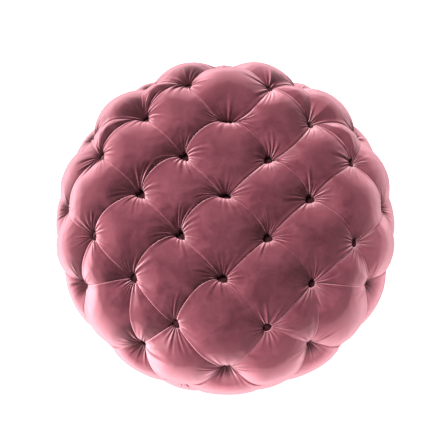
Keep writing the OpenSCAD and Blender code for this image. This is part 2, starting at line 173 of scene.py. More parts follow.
def placeTufts():
    # a key is ("top", u, v), (ring, number) or ("hem", number)
    places = {}
    rows = range(-tufts["rows"], tufts["rows"] + 1)
    for u in rows:
        for v in rows:
            if (u + v) % 2 == 0 and isTop(u, v):
                places["top", u, v] = (u * halfPitch, v * halfPitch, tufts["topZ"])
    tilt = math.radians(tufts["ringAngle"])
    drawn = pouf["shoulder"] - tufts["sideSink"]
    for ring in range(tufts["rings"]):
        z = widestZ + drawn * math.sin(tilt) - ring * tufts["ringDrop"]
        radius = barrelAt(z) - tufts["sideSink"] if ring else flatRadius + drawn * math.cos(tilt)
        for k in range(tufts["around"]):
            # the middle ring stands half a step on
            places[ring, k] = polar(radius, stepAround * (k + ring % 2 / 2) + tufts["turn"], z)
    for k in range(tufts["around"]):
        places["hem", k] = polar(barrelAt(hemZ), stepAround * k + tufts["turn"], hemZ)
    return {key: np.array(place) for key, place in places.items()}


def isHem(key):
    return key[0] == "hem"


def keyAt(u, v):
    # a lattice point past the top's last tufts is a tuft of the first ring
    if isTop(u, v):
        return ("top", u, v)
    return (0, round(math.degrees(math.atan2(v, u)) / stepAround) % tufts["around"])


def turned(u, v, quarter):
    for _ in range(quarter):
        u, v = -v, u
    return keyAt(u, v)


def makeTopCells():
    rows = range(-tufts["rows"], tufts["rows"] + 1)
    cells = [[keyAt(u + 1, v), keyAt(u, v + 1), keyAt(u - 1, v), keyAt(u, v - 1)]
             for u in rows for v in rows
             if (u + v) % 2 == 1 and u * u + v * v <= tufts["rows"] ** 2]
    for q in range(4):      # cells with three corners, two in each quarter
        cells.append([turned(3, 1, q), (0, 3 * q + 1), turned(2, 2, q)])
        cells.append([turned(2, 2, q), (0, 3 * q + 2), turned(1, 3, q)])
    return cells


def makeSideCells(first, last):
    # three rows of cells; those of the lowest row end at the hem
    cells = []
    for k in range(first, last):
        after, before = (k + 1) % tufts["around"], (k - 1) % tufts["around"]
        cells.append([turned(3 - k % 3, 1 + k % 3, k // 3), (0, k), (1, k), (0, after)])
        cells.append([(0, k), (1, before), (2, k), (1, k)])
        cells.append([(1, k), (2, k), ("hem", k), ("hem", after), (2, after)])
    return cells


tuftPlaces = placeTufts()
tuftFoot, tuftOut, tuftSink = {}, {}, {}
for key, place in tuftPlaces.items():
    foot, out = crownFoot(place)
    tuftFoot[key], tuftOut[key] = foot[0], out[0]
    tuftSink[key] = float(np.linalg.norm(foot[0] - place))
topCells = makeTopCells()
sideCells = makeSideCells(0, tufts["around"])
print("tufts placed:", len(tuftPlaces) - tufts["around"])

# how the velvet lies between the tufts, in metres
velvetForm = {
    # depth and reach of the valley along a pleat, on the top, at its edge and on the side
    "topValley": (0.0030, 0.014), "edgeValley": (0.0042, 0.017), "sideValley": (0.0046, 0.018),
    # how much a cell swells, at the shoulder, on the side and on the wall at the back, which
    # is fullest from the second to the third number towards +y, and the reach of the rise
    "edgeSwell": 0.003, "sideSwell": 0.003, "backSwell": (0.011, 0.10, 0.30), "swellRise": 0.032,
    # depth of the crease, its width and power on the cell that lies over, and on the other
    "crease": 0.0024, "creaseOver": (0.0011, 1.4), "creaseUnder": (0.0034, 1.1),
    # the folded lip that lies over the crease, and a low ridge behind it
    "lip": (0.0018, 0.0016), "ridge": (0.0006, 0.0036, 0.0034),
    # a pleat is smooth at the tuft and has its whole crease from the second distance on
    "pleatStart": (0.010, 0.034), "pleatSteps": 24, "bowReach": 0.045,
    # soft unevenness: height, and two waves with their phases
    "wave": (0.0009, (31, 17, 11), 0.7, (-19, 37, 23), 2.1),
    # at this distance from the tuft the velvet moves to that radius and share of the sink
    "funnel": [(0.000, 0.0000, 1.00), (0.006, 0.0090, 1.00), (0.009, 0.0118, 0.97),
               (0.011, 0.0120, 0.86), (0.013, 0.0108, 0.78), (0.015, 0.0098, 0.70),
               (0.017, 0.0098, 0.62), (0.020, 0.0112, 0.54), (0.024, 0.0144, 0.460),
               (0.029, 0.0196, 0.380), (0.036, 0.0276, 0.290), (0.045, 0.0388, 0.205),
               (0.056, 0.0525, 0.125), (0.070, 0.0690, 0.050), (0.088, 0.0880, 0.0)],
    # the low tufts draw less of the wall in with them
    "sideFunnel": [(0.000, 0.0000, 1.00), (0.006, 0.0090, 1.00), (0.009, 0.0118, 0.97),
                   (0.011, 0.0120, 0.86), (0.013, 0.0108, 0.77), (0.015, 0.0098, 0.68),
                   (0.017, 0.0098, 0.58), (0.020, 0.0112, 0.48), (0.024, 0.0144, 0.380),
                   (0.029, 0.0196, 0.285), (0.036, 0.0276, 0.185), (0.045, 0.0388, 0.095),
                   (0.056, 0.0525, 0.035), (0.070, 0.0690, 0.008), (0.088, 0.0880, 0.0)],
    # the fibre stays clear of the velvet's pits
    "fibreFunnel": [(0.000, 0.0000, 0.82), (0.012, 0.0165, 0.80), (0.024, 0.0190, 0.50),
                    (0.036, 0.0290, 0.28), (0.056, 0.0524, 0.12), (0.088, 0.0880, 0.0)],
    # below a shoulder tuft: the most added to the share, and to its painted shade, how far down,
    # reach
    "wedge": (0.36, 0.54, 0.029, 0.022),
    # a tuft draws in what is this near, and one this far from a cell isn't looked at
    "tuftReach": 0.088, "farOff": 0.35,
    "seed": 11,
}
rng = np.random.default_rng(velvetForm["seed"])

# columns from a pleat to the middle of its cell and down to the hem, rows out from a tuft
fineGrid = {"acrossPleat": 18, "alongHem": 14, "outward": 31}
coarseGrid = {"acrossPleat": 6, "alongHem": 4, "outward": 10}
# both crowd towards the pleats and tufts: shares of even and crowded spacing, and powers
crowding = {"even": 0.22, "crowded": 0.78, "power": 2.2, "rowPower": 1.35}


def smooth(x, low, high):
    t = np.clip((x - low) / (high - low), 0, 1)
    return t * t * (3 - 2 * t)


def crowd(t):
    return crowding["even"] * t + crowding["crowded"] * t ** crowding["power"]


def lineBetween(a, b, count, finer):
    # points from a to b, closer together near the start or the end, or even
    t = np.linspace(0, 1, count + 1)
    if finer == "start":
        t = crowd(t)
    if finer == "end":
        t = 1 - crowd(1 - t)
    return a + (b - a) * t[:, None]


def pleatAim(a, b):
    # the middle of a pleat, or its end at the hem
    if isHem(a) != isHem(b):
        return tuftPlaces[a] if isHem(a) else tuftPlaces[b]
    return (tuftPlaces[a] + tuftPlaces[b]) / 2


def quarterEdge(cell, i, grid):
    # far edge of the part of a cell that one tuft draws down, from one pleat to the other
    n = len(cell)
    after, before = cell[(i + 1) % n], cell[(i - 1) % n]
    centre = sum(tuftPlaces[k] for k in cell) / n
    corners = [pleatAim(cell[i], after), centre, pleatAim(before, cell[i])]
    runs = [(grid["acrossPleat"], "start"), (grid["acrossPleat"], "end")]
    if isHem(after) or isHem(before):
        runs.insert(1, (grid["alongHem"], "even"))
        if isHem(after):
            corners.insert(1, (tuftPlaces[after] + tuftPlaces[cell[(i + 2) % n]]) / 2)
        else:
            corners.insert(2, (tuftPlaces[before] + tuftPlaces[cell[(i - 2) % n]]) / 2)
    lines = [lineBetween(a, b, *run) for a, b, run in zip(corners, corners[1:], runs)]
    return np.concatenate([lines[0]] + [line[1:] for line in lines[1:]])


# how far a pleat bows away from the straight line between its tufts
bow = {
    # pleats of the top that rise to the right, those that fall, and those left straight
    "rising": 0.021, "falling": 0.013, "straight": 0.002,
    # pleats from the top to the first ring, the others, and how much each of them varies
    "edge": 0.003, "side": 0.006, "varies": 0.003,
    # rising pleats bow to the left of this x or behind this y
    "risingX": 0.02, "risingY": 0.10,
    # falling pleats bow to the right of one of these x if they are behind its y
    "fallingFrom": [(0.02, -0.18), (-0.07, 0.18)],
    # of two cells as near to x = 0, the y decides a little which one lies over
    "tieBreak": 0.001,
}
pleats = {}      # its two tufts, in order, to a pleat


def pleatName(a, b):
    return tuple(sorted((a, b), key=str))


def pleatsOf(cell):
    # pairs of tufts along the edges of a cell, without the hem
    pairs = [(a, cell[(i + 1) % len(cell)]) for i, a in enumerate(cell)]
    return [(a, b) for a, b in pairs if not (isHem(a) and isHem(b))]


def isBowed(x, y, rising):
    if rising:
        return x < bow["risingX"] or y > bow["risingY"]
    return any(x > left and y > front for left, front in bow["fallingFrom"])


def shapePleats():
    for cell in topCells + sideCells:
        centre = crownFoot(sum(tuftPlaces[k] for k in cell) / len(cell))[0][0]
        for a, b in pleatsOf(cell):
            pleats.setdefault(pleatName(a, b), {"cells": []})["cells"].append((cell, centre))
    steps = velvetForm["pleatSteps"]
    for a, b in sorted(pleats, key=str):
        pleat = pleats[a, b]
        start, end = tuftPlaces[a], tuftPlaces[b]
        t = np.linspace(0, 1, steps + 1)[:, None]
        pleat["line"], outs = crownFoot(start + (end - start) * t)
        pleat["length"] = float(np.linalg.norm(np.diff(pleat["line"], axis=0), axis=1).sum())
        middle, out = pleat["line"][steps // 2], outs[steps // 2]
        # the cell nearer to the middle of the pouf lies over its neighbour
        over, centre = min(pleat["cells"], key=lambda c: abs(c[1][0] + bow["tieBreak"] * c[1][1]))
        pleat["over"] = over
        way = middle - centre
        way -= out * (way @ out)
        pleat["way"] = way / np.linalg.norm(way)
        along = end - start
        rising = along[0] * along[1] > 0
        if a[0] == "top" and b[0] == "top":
            kind = "rising" if rising else "falling"
            pleat["bow"] = bow[kind if isBowed(middle[0], middle[1], rising) else "straight"]
            pleat["valley"] = velvetForm["topValley"]
        else:
            kind = "edge" if "top" in (a[0], b[0]) else "side"
            pleat["bow"] = bow[kind]
            pleat["valley"] = velvetForm[kind + "Valley"]
        pleat["bow"] += rng.uniform(-bow["varies"], bow["varies"])


# fine folds that fan out of each tuft into the cells round it: how many in a cell, degrees to
# each side, and the lowest and highest value of each fold's height, width and length
folds = {
    "inCell": 5, "spread": 33.0, "height": (0.0002, 0.0027), "width": (0.0009, 0.0018),
    "length": (0.036, 0.084),
    # most that a fold turns at its foot, and bends on its way out
    "turn": 0.09, "bend": 2.5,
    # where a fold begins, and the share of its length at which it starts to fade
    "start": (0.012, 0.019), "fade": 0.40,
    # share of the width at the tuft, and the distance that adds one more width
    "footWidth": 0.5, "widening": 0.03,
    # depth and place, in widths, of the furrow beside each fold, and its reach sideways
    "furrow": (0.7, 1.9), "sideways": 1.2,
    # a tuft whose own east is shorter than this takes it from the other axis
    "leastEast": 0.4,
}


def makeFans():
    cellsRound = {}
    for cell in topCells + sideCells:
        for key in cell:
            cellsRound.setdefault(key, []).append(sum(tuftPlaces[k] for k in cell) / len(cell))
    fans = {}
    for key in sorted(tuftPlaces, key=str):
        if isHem(key):
            continue
        out = tuftOut[key]
        east = np.cross((0, 1, 0), out)
        if np.linalg.norm(east) < folds["leastEast"]:
            east = np.cross((1, 0, 0), out)
        east /= np.linalg.norm(east)
        north = np.cross(out, east)
        angles = []
        for centre in cellsRound[key]:
            toCell = centre - tuftPlaces[key]
            middle = math.atan2(toCell @ north, toCell @ east)
            spread = np.radians(np.linspace(-folds["spread"], folds["spread"], folds["inCell"]))
            turns = rng.uniform(-folds["turn"], folds["turn"], folds["inCell"])
            angles.extend(middle + spread + turns)
        count = len(angles)
        fans[key] = {
            "east": east, "north": north, "angle": np.array(angles),
            "height": rng.uniform(*folds["height"], count),
            "width": rng.uniform(*folds["width"], count),
            "length": rng.uniform(*folds["length"], count),
            "bend": rng.uniform(-folds["bend"], folds["bend"], count),
        }
    return fans


shapePleats()
fans = makeFans()
print("pleats and folds planned:", len(pleats), "pleats")


def pleatPlace(points, pleat):
    # distance of each point from the pleat's line, and how far along the pleat it lies
    line = pleat["line"]
    best = np.full(len(points), np.inf)
    share = np.zeros(len(points))
    for i in range(len(line) - 1):
        step = line[i + 1] - line[i]
        t = np.clip((points - line[i]) @ step / (step @ step), 0, 1)
        d = np.linalg.norm(points - line[i] - t[:, None] * step, axis=1)
        nearer = d < best
        best[nearer] = d[nearer]
        share[nearer] = (i + t[nearer]) / (len(line) - 1)
    return best, share


def pleatMoves(cell, start):
    # how a cell's pleats sink, crease, lift and slide its points, and how near they are
    form = velvetForm
    sink, crease, lift = np.zeros(len(start)), np.zeros(len(start)), np.zeros(len(start))
    nearest = np.full(len(start), np.inf)
    slide = np.zeros_like(start)
    for a, b in pleatsOf(cell):
        name = pleatName(a, b)
        pleat = pleats[name]
        d, share = pleatPlace(start, pleat)
        valleyDepth, valleyReach = pleat["valley"]
        sink = np.maximum(sink, valleyDepth * np.exp(-(d / valleyReach) ** 1.5))
        nearest = np.minimum(nearest, d)
        ends = np.minimum(share, 1 - share) * pleat["length"]
        if isHem(a) or isHem(b):
            # at the hem the crease runs on
            fromHem = share if isHem(name[0]) else 1 - share
            ends = (1 - fromHem) * pleat["length"]
        strength = smooth(ends, *form["pleatStart"])
        bowed = np.sin(math.pi * share) * pleat["bow"]
        slide += pleat["way"] * (bowed * np.exp(-(d / form["bowReach"]) ** 2))[:, None]
        if pleat["over"] == cell:
            width, power = form["creaseOver"]
            crease += strength * form["crease"] * np.exp(-(d / width) ** power)
            ridge, away, reach = form["ridge"]
            lift += strength * ridge * np.exp(-((d - away) / reach) ** 2) * (d > 0)
            size, reach = form["lip"]
            lip = size * (d / reach) * np.exp(1 - d / reach)
            slide += pleat["way"] * (strength * lip)[:, None]
        else:
            width, power = form["creaseUnder"]
            crease += strength * form["crease"] * np.exp(-(d / width) ** power)
    return sink, crease, lift, slide, nearest


def swellOf(cell):
    form = velvetForm
    rings = {key[0] for key in cell}
    swell = form["sideSwell"] if 1 in rings else form["edgeSwell"] if 0 in rings else 0
    if 0 in rings and 1 in rings:
        fullest, low, high = form["backSwell"]
        back = sum(tuftPlaces[key][1] for key in cell) / len(cell)
        swell += (fullest - swell) * smooth(back, low, high)
    return swell


def liftFolds(depth, near, key, flat, r):
    # the folds of one tuft, on the points near it
    fan = fans[key]
    angle = np.arctan2(flat @ fan["north"], flat @ fan["east"])
    furrow, beside = folds["furrow"]
    for k in range(len(fan["angle"])):
        turn = angle - fan["angle"][k] - fan["bend"][k] * r + math.pi
        turn = turn % (2 * math.pi) - math.pi
        side = r * np.sin(np.clip(turn, -folds["sideways"], folds["sideways"]))
        width = fan["width"][k] * (folds["footWidth"] + r / folds["widening"])
        shape = np.exp(-(side / width) ** 2)
        shape = shape - furrow * np.exp(-((side - beside * width) / width) ** 2)
        length = fan["length"][k]
        window = smooth(r, *folds["start"]) * (1 - smooth(r, folds["fade"] * length, length))
        depth[near] -= fan["height"][k] * shape * window


def velvetPoints(cell, points, below):
    # moves points of one cell from the crown surface to where the velvet lies, or so far below
    # it, and says how much each is drawn into a pit
    form = velvetForm
    start = crownFoot(points)[0]
    sink, crease, lift, slide, nearest = pleatMoves(cell, start)
    lift += swellOf(cell) * (1 - np.exp(-(nearest / form["swellRise"]) ** 2))
    moved, out = crownFoot(start + slide)
    depth = sink + crease - lift
    pit = np.zeros(len(start))
    for key, place in tuftFoot.items():
        if isHem(key) or np.abs(place - start[0]).max() > form["farOff"]:
            continue
        away = start - place
        distance = np.linalg.norm(away, axis=1)
        near = distance < form["tuftReach"]
        if not near.any():
            continue
        r = distance[near]
        table = "fibreFunnel" if below else "sideFunnel" if key[0] in (1, 2) else "funnel"
        distances, radii, shares = np.array(form[table]).T
        share = np.interp(r, distances, shares)
        flat = away[near] - tuftOut[key] * (away[near] @ tuftOut[key])[:, None]
        if key[0] == 0:
            # the tufts on the shoulder draw in more of the wall below them, and paint more shade
            # there
            amount, paintedDark, middle, reach = form["wedge"]
            lower = np.clip(-flat[:, 2] / np.maximum(r, 1e-6), 0, 1) ** 2
            wedge = lower * np.exp(-((r - middle) / reach) ** 2)
            pit[near] = np.maximum(pit[near], share + paintedDark * wedge)
            share += amount * wedge
        depth[near] += np.maximum(tuftSink[key] - sink[near], 0) * share
        pit[near] = np.maximum(pit[near], share)
        neck = np.interp(r, distances, radii)
        moved[near] += flat * ((neck - r) / np.maximum(r, 1e-6))[:, None]
        liftFolds(depth, near, key, flat, r)
    height, first, firstPhase, second, secondPhase = form["wave"]
    wave = (np.sin(start @ first + firstPhase) + np.sin(start @ second + secondPhase)) * height
    return moved - out * (depth + wave + below)[:, None], pit


def gridFaces(first, shape):
    # numbers of a grid of points, row by row from first, and its faces
    index = first + np.arange(shape[0] * shape[1]).reshape(shape)
    a, b = index[:-1, :-1].ravel(), index[:-1, 1:].ravel()
    c, d = index[1:, 1:].ravel(), index[1:, :-1].ravel()
    return index, np.stack([a, d, c, b], 1)


# the velvet's hem goes in under the base: share of the way to this radius, radius, height
hemSteps = [(0.12, 0.372, 0.0405), (0.30, 0.368, 0.0345), (0.55, 0.364, 0.0290),
            (0.80, 0.359, 0.0245), (0.95, 0.354, 0.0215), (1.0, 0.349, 0.0206),
            (1.0, 0.334, 0.0205), (1.0, 0.3178, 0.0205)]


def hemRows(top):
    angle = np.arctan2(top[:, 1], top[:, 0])
    radius = np.hypot(top[:, 0], top[:, 1])
    around = np.stack([np.cos(angle), np.sin(angle)], 1)
    rows = [top]
    for share, r, z in hemSteps:
        newRadius = radius * (1 - share) + r * share
        newZ = np.full(len(top), z)
        rows.append(np.concatenate([around * newRadius[:, None], newZ[:, None]], 1))
    return np.array(rows)


def mergePatches(points, pits, faces):
    # patches meet point on point, so equal places, to a hundredth of a millimetre, become one
    places = np.round(points, 5)
    _, first, same = np.unique(places, axis=0, return_index=True, return_inverse=True)
    clean = []
    for face in same.ravel()[faces].tolist():
        ring = [p for i, p in enumerate(face) if p != face[i - 1]]
        if len(set(ring)) >= 3:
            clean.append(ring)
    return points[first], pits[first], clean


def coverPiece(name, cells, material, grid, hem=False, below=0.0):
    points, pits, faces, total = [], [], [], 0
    hemRuns = {}
    rows = (np.arange(grid["outward"] + 1) / grid["outward"]) ** crowding["rowPower"]
    for cell in cells:
        for i, key in enumerate(cell):
            if isHem(key):
                continue
            far = quarterEdge(cell, i, grid)
            spread = tuftPlaces[key] + rows[:, None, None] * (far - tuftPlaces[key])[None]
            placed, pit = velvetPoints(cell, spread.reshape(-1, 3), below)
            index, patch = gridFaces(total, spread.shape[:2])
            points.append(placed)
            pits.append(pit)
            faces.append(patch)
            total += len(placed)
            if hem and any(isHem(k) for k in cell) and key[0] == 2:
                # the part of the far edge that lies on the hem
                last = grid["acrossPleat"]
                after = isHem(cell[(i + 1) % len(cell)])
                hemRuns[key[1], after] = index[-1][:last + 1] if after else index[-1][-last - 1:]
    cellPoints = np.concatenate(points)
    for run in sorted(hemRuns):
        turnedIn = hemRows(cellPoints[hemRuns[run]])
        faces.append(gridFaces(total, turnedIn.shape[:2])[1])
        points.append(turnedIn.reshape(-1, 3))
        pits.append(np.zeros(len(points[-1])))
        total += len(points[-1])
    points, pits, faces = mergePatches(*(np.concatenate(part) for part in (points, pits, faces)))
    # how much the crown surface faces the painted light, so that the painted shade and highlights
    # follow only the slopes round the tufts
    tilts = crownFoot(points)[1] @ np.array(velvet["paintedLightFrom"])
    return meshPiece(name, points, faces, material, {"pit": pits, "tilt": tilts})


# woven polyester velvet with a short cut pile, with a painted sheen: dark looked at from above
# and pale looked at from the side, so every crown has a pale edge; it is brushed in soft strokes,
# has painted shade and highlights on the slopes round the tufts, and painted shade near black at
# the bottom of the pits
velvet = {
    # two tones in soft strokes about 42 mm long, and pile drawn at 0.7 mm, coarser than the
    # real one so that it shows
    "deep": "#6b343f", "mid": "#95525e", "strokeSize": 125 / 3, "pileSize": 5 / 7,
    # painted sheen, a colour by how far the surface turns from the eye: share of the turn, colour
    "paintedSheen": [(0.28, "#94525d"), (0.46, "#c8808c"), (0.66, "#f0acb8")],
    # painted light comes from this way: near a tuft the slopes that face it are painted pale as a
    # highlight and the others painted dark as shade: the two slopes, and the value of each
    "paintedLightFrom": (-0.80, 0.60, 0.0), "paintedLightSlopes": (-0.45, 0.60), "paintedShadeAndHighlight": (0.25, 2.20),
    # a painted highlight paler than the first value has less colour, down to the second share
    "paintedHighlightWash": (1.4, 0.72),
    # the colour of the painted shade at the bottom of the pits
    "paintedPitShade": "#50282e",
    # pit values between which the painted pit shade comes in, and how much the slope's painted
    # light shifts them
    "pitShade": (0.34, 0.66), "pitShadeBySlope": -0.36,
    # painted shade over one broad area of the top: place, reach, how dark
    "paintedShadePatch": ((0.13, -0.18, 0.38), 0.25, 0.85),
    "roughness": 0.95, "specular": 0.12,
    "sheen": 0.30, "sheenRoughness": 0.5, "sheenTint": "#ffc0cb",
}


def makeVelvet():
    material, shader, links = newMaterial("dusty rose velvet")
    place = addNode(material, "ShaderNodeTexCoord")
    # two tones in soft strokes
    brushed = addNode(material, "ShaderNodeTexNoise", [(place.outputs["Object"], "Vector")],
                      Scale=1000 / velvet["strokeSize"], Detail=7.0, Roughness=0.66,
                      Distortion=0.5)
    strokes = addNode(material, "ShaderNodeMapRange", [(brushed.outputs["Fac"], "Value")],
                      From_Min=0.29, From_Max=0.71)
    tone = addNode(material, "ShaderNodeMix", [(strokes.outputs[0], "Factor")],
                   {6: linearColor(velvet["deep"]), 7: linearColor(velvet["mid"])},
                   _data_type="RGBA")
    # painted sheen: pale where the surface turns away
    sheenFacing = addNode(material, "ShaderNodeLayerWeight", Blend=0.5)
    ramp = addNode(material, "ShaderNodeValToRGB", [(sheenFacing.outputs["Facing"], "Fac")])
    band = ramp.color_ramp.elements
    for share, color in velvet["paintedSheen"][:-1]:
        band.new(share)
    for element, (share, color) in zip(band, [(0, velvet["mid"])] + velvet["paintedSheen"]):
        element.position = share
        element.color = linearColor(color)
    over = addNode(material, "ShaderNodeMapRange", [(sheenFacing.outputs["Facing"], "Value")],
                   From_Min=0.05, From_Max=0.30)
    paintedSheen = addNode(material, "ShaderNodeMix",
                    [(over.outputs[0], "Factor"), (tone.outputs[2], 6),
                     (ramp.outputs["Color"], 7)], _data_type="RGBA")
    # painted light and shade: slopes that face its way are painted paler and the others darker,
    # measured from the crown surface's own slope
    (away, toward), (darkest, palest) = velvet["paintedLightSlopes"], velvet["paintedShadeAndHighlight"]
    slope = addNode(material, "ShaderNodeVectorMath", [(place.outputs["Normal"], 0)],
                    {1: velvet["paintedLightFrom"]}, _operation="DOT_PRODUCT")
    tilt = addNode(material, "ShaderNodeAttribute", _attribute_name="tilt")
    local = addNode(material, "ShaderNodeMath",
                    [(slope.outputs["Value"], 0), (tilt.outputs["Fac"], 1)],
                    _operation="SUBTRACT")
    paintedSlopeLight = addNode(material, "ShaderNodeMapRange", [(local.outputs[0], "Value")],
                      From_Min=away, From_Max=toward, To_Min=darkest, To_Max=palest)
    # it shows on what faces up, near a tuft, and not at the pale edge
    upward = addNode(material, "ShaderNodeSeparateXYZ", [(place.outputs["Normal"], 0)])
    onTop = addNode(material, "ShaderNodeMapRange", [(upward.outputs["Z"], "Value")],
                    From_Min=0.10, From_Max=0.50)
    pit = addNode(material, "ShaderNodeAttribute", _attribute_name="pit")
    near = addNode(material, "ShaderNodeMapRange", [(pit.outputs["Fac"], "Value")],
                   From_Min=0.0, From_Max=0.10)
    steep = addNode(material, "ShaderNodeMapRange", [(sheenFacing.outputs["Facing"], "Value")],
                    From_Min=0.50, From_Max=0.80, To_Min=1.0, To_Max=0.0)
    seen = addNode(material, "ShaderNodeMath", [(onTop.outputs[0], 0), (steep.outputs[0], 1)],
                   _operation="MULTIPLY")
    where = addNode(material, "ShaderNodeMath", [(seen.outputs[0], 0), (near.outputs[0], 1)],
                    _operation="MULTIPLY")
    paintedLightValue = addNode(material, "ShaderNodeMix",
                       [(where.outputs[0], 0), (paintedSlopeLight.outputs[0], 3)], {2: 1.0},
                       _data_type="FLOAT")
    # painted shade on one broad area
    middle, reach, paintedDark = velvet["paintedShadePatch"]
    fromThere = addNode(material, "ShaderNodeMapping", [(place.outputs["Object"], "Vector")],
                        _vector_type="TEXTURE", Location=middle, Scale=(reach, reach, reach))
    ball = addNode(material, "ShaderNodeTexGradient", [(fromThere.outputs[0], "Vector")],
                   _gradient_type="SPHERICAL")
    paintedShadePatch = addNode(material, "ShaderNodeMapRange", [(ball.outputs["Fac"], "Value")],
                      _interpolation_type="SMOOTHSTEP", From_Min=0.0, From_Max=0.65,
                      To_Min=1.0, To_Max=paintedDark)
    value = addNode(material, "ShaderNodeMath",
                    [(paintedLightValue.outputs[0], 0), (paintedShadePatch.outputs[0], 1)], _operation="MULTIPLY")
    washFrom, leastColor = velvet["paintedHighlightWash"]
    washed = addNode(material, "ShaderNodeMapRange", [(value.outputs[0], "Value")],
                     From_Min=washFrom, From_Max=palest, To_Min=1.0, To_Max=leastColor)
    paintedLightColor = addNode(material, "ShaderNodeHueSaturation",
                     [(paintedSheen.outputs[2], "Color"), (value.outputs[0], "Value"),
                      (washed.outputs[0], "Saturation")])
    # painted shade in the pits, where no light gets in
    pitShadeInput = addNode(material, "ShaderNodeMath", [(local.outputs[0], 0), (pit.outputs["Fac"], 2)],
                    {1: velvet["pitShadeBySlope"]}, _operation="MULTIPLY_ADD")
    paintedPitShade = addNode(material, "ShaderNodeMapRange", [(pitShadeInput.outputs[0], "Value")],
                      From_Min=velvet["pitShade"][0], From_Max=velvet["pitShade"][1])
    shade = addNode(material, "ShaderNodeMix",
                    [(paintedPitShade.outputs[0], "Factor"), (paintedLightColor.outputs[0], 6)],
                    {7: linearColor(velvet["paintedPitShade"])}, _data_type="RGBA")
    links.new(shade.outputs[2], shader.inputs["Base Color"])
    pile = addNode(material, "ShaderNodeTexNoise", [(place.outputs["Object"], "Vector")],
                   Scale=1000 / velvet["pileSize"], Detail=2.0)
    relief = addNode(material, "ShaderNodeBump", [(pile.outputs["Fac"], "Height")],
                     Strength=0.12, Distance=0.0006)
    links.new(relief.outputs["Normal"], shader.inputs["Normal"])
    shader.inputs["Roughness"].default_value = velvet["roughness"]
    shader.inputs["Specular IOR Level"].default_value = velvet["specular"]
    shader.inputs["Sheen Weight"].default_value = velvet["sheen"]
    shader.inputs["Sheen Roughness"].default_value = velvet["sheenRoughness"]
    shader.inputs["Sheen Tint"].default_value = linearColor(velvet["sheenTint"])
    return material


# the side cover is three panels, joined in the pleats
covers = {"panels": 3, "fill": 0.8}
velvetMaterial = makeVelvet()
topCover = coverPiece("velvet_top", topCells, velvetMaterial, fineGrid)
standIn(topCover, "cover_top")
inPanel = tufts["around"] // covers["panels"]
for panel in range(covers["panels"]):
    panelCells = makeSideCells(inPanel * panel, inPanel * (panel + 1))
    sideCover = coverPiece("velvet_side_%d" % (panel + 1), panelCells, velvetMaterial, fineGrid,
                           hem=True)
    standIn(sideCover, "cover_side_%d" % (panel + 1))
print("velvet made: a top and", covers["panels"], "side panels")

# materials of everything under the velvet: two colours, the size in mm of what varies
# between them along x, y and z, roughness, relief in mm, and how metallic it is
grounds = {
    # carded polyester, so tufts of fibre about 6 mm wide give it a soft, cloudy, matt white
    "fibre": ("carded polyester wadding", "#f4f1ea", "#dcd6ca", (6, 6, 6), 1.0, 0.6, 0),
    # foam cut from a block: open cells of under 1 mm, drawn at 1.6 mm so that they show
    "foam": ("cut polyurethane foam", "#edd68c", "#d8b765", (1.6, 1.6, 1.6), 1.0, 0.4, 0),
    # sanded birch plywood: grain 60 mm long and 4 mm wide, and 1.5 mm plies on the edges
    "plywood": ("sanded birch plywood", "#dcbc8c", "#b98d58", (60, 4, 1.5), 0.6, 0.1, 0),
    # planed pine: upright grain, with growth rings about 5 mm apart
    "pine": ("planed pine", "#e6c896", "#c99a60", (5, 5, 90), 0.65, 0.15, 0),
    # twisted and waxed linen, dull with a 1 mm twist
    "twine": ("twisted waxed linen", "#eae2cc", "#bfb291", (1, 1, 1), 0.7, 0.25, 0),
    # rolled steel with a zinc plating, whose spangle gives it 4 mm clouds
    "zinc": ("zinc plated steel", "#c9ccd1", "#a9adb3", (4, 4, 4), 0.35, 0.02, 1),
    # drawn and galvanised steel wire, duller than the screws
    "wire": ("galvanised steel wire", "#bfc2c6", "#8f9398", (3, 3, 3), 0.45, 0.02, 1),
    # injection moulded polypropylene with a fine spark texture, drawn at 1.2 mm
    "plastic": ("moulded polypropylene", "#29292b", "#1c1c1e", (1.2, 1.2, 1.2), 0.45, 0.08, 0),
    # spun-bonded polypropylene cloth, matt, with the dots of its bonding 2.4 mm apart
    "nonwoven": ("spun-bonded polypropylene cloth", "#2b2b2d", "#17171a", (2.4, 2.4, 2.4), 0.9,
                 0.25, 0),
}
glossVaries = 0.08      # how far the roughness goes up and down from its value
# the material of each CAD node, by how its name starts
nodeGrounds = {"foam": "foam", "deck_board": "plywood", "wall_board": "plywood",
               "base_board": "plywood", "upright": "pine", "toggles": "pine", "twines": "twine",
               "deck_screws": "zinc", "base_screws": "zinc", "glide_screws": "zinc",
               "hem_staples": "wire", "cloth_staples": "wire", "glide": "plastic"}


def makeGround(kind):
    name, first, second, sizes, rough, relief, metal = grounds[kind]
    material, shader, links = newMaterial(name)
    place = addNode(material, "ShaderNodeTexCoord")
    scaled = addNode(material, "ShaderNodeMapping", [(place.outputs["Object"], "Vector")],
                     Scale=[1000 / size for size in sizes])
    pattern = addNode(material, "ShaderNodeTexNoise", [(scaled.outputs[0], "Vector")],
                      Scale=1.0, Detail=5.0, Roughness=0.6, Distortion=0.4)
    sharp = addNode(material, "ShaderNodeMapRange", [(pattern.outputs["Fac"], "Value")],
                    From_Min=0.3, From_Max=0.7)
    tone = addNode(material, "ShaderNodeMix", [(sharp.outputs[0], "Factor")],
                   {6: linearColor(first), 7: linearColor(second)}, _data_type="RGBA")
    links.new(tone.outputs[2], shader.inputs["Base Color"])
    gloss = addNode(material, "ShaderNodeMapRange", [(pattern.outputs["Fac"], "Value")],
                    To_Min=rough - glossVaries, To_Max=min(rough + glossVaries, 1.0))
    links.new(gloss.outputs[0], shader.inputs["Roughness"])
    shader.inputs["Metallic"].default_value = metal
    bumps = addNode(material, "ShaderNodeBump", [(pattern.outputs["Fac"], "Height")],
                    Strength=0.6, Distance=relief / 1000)
    links.new(bumps.outputs["Normal"], shader.inputs["Normal"])
    return material


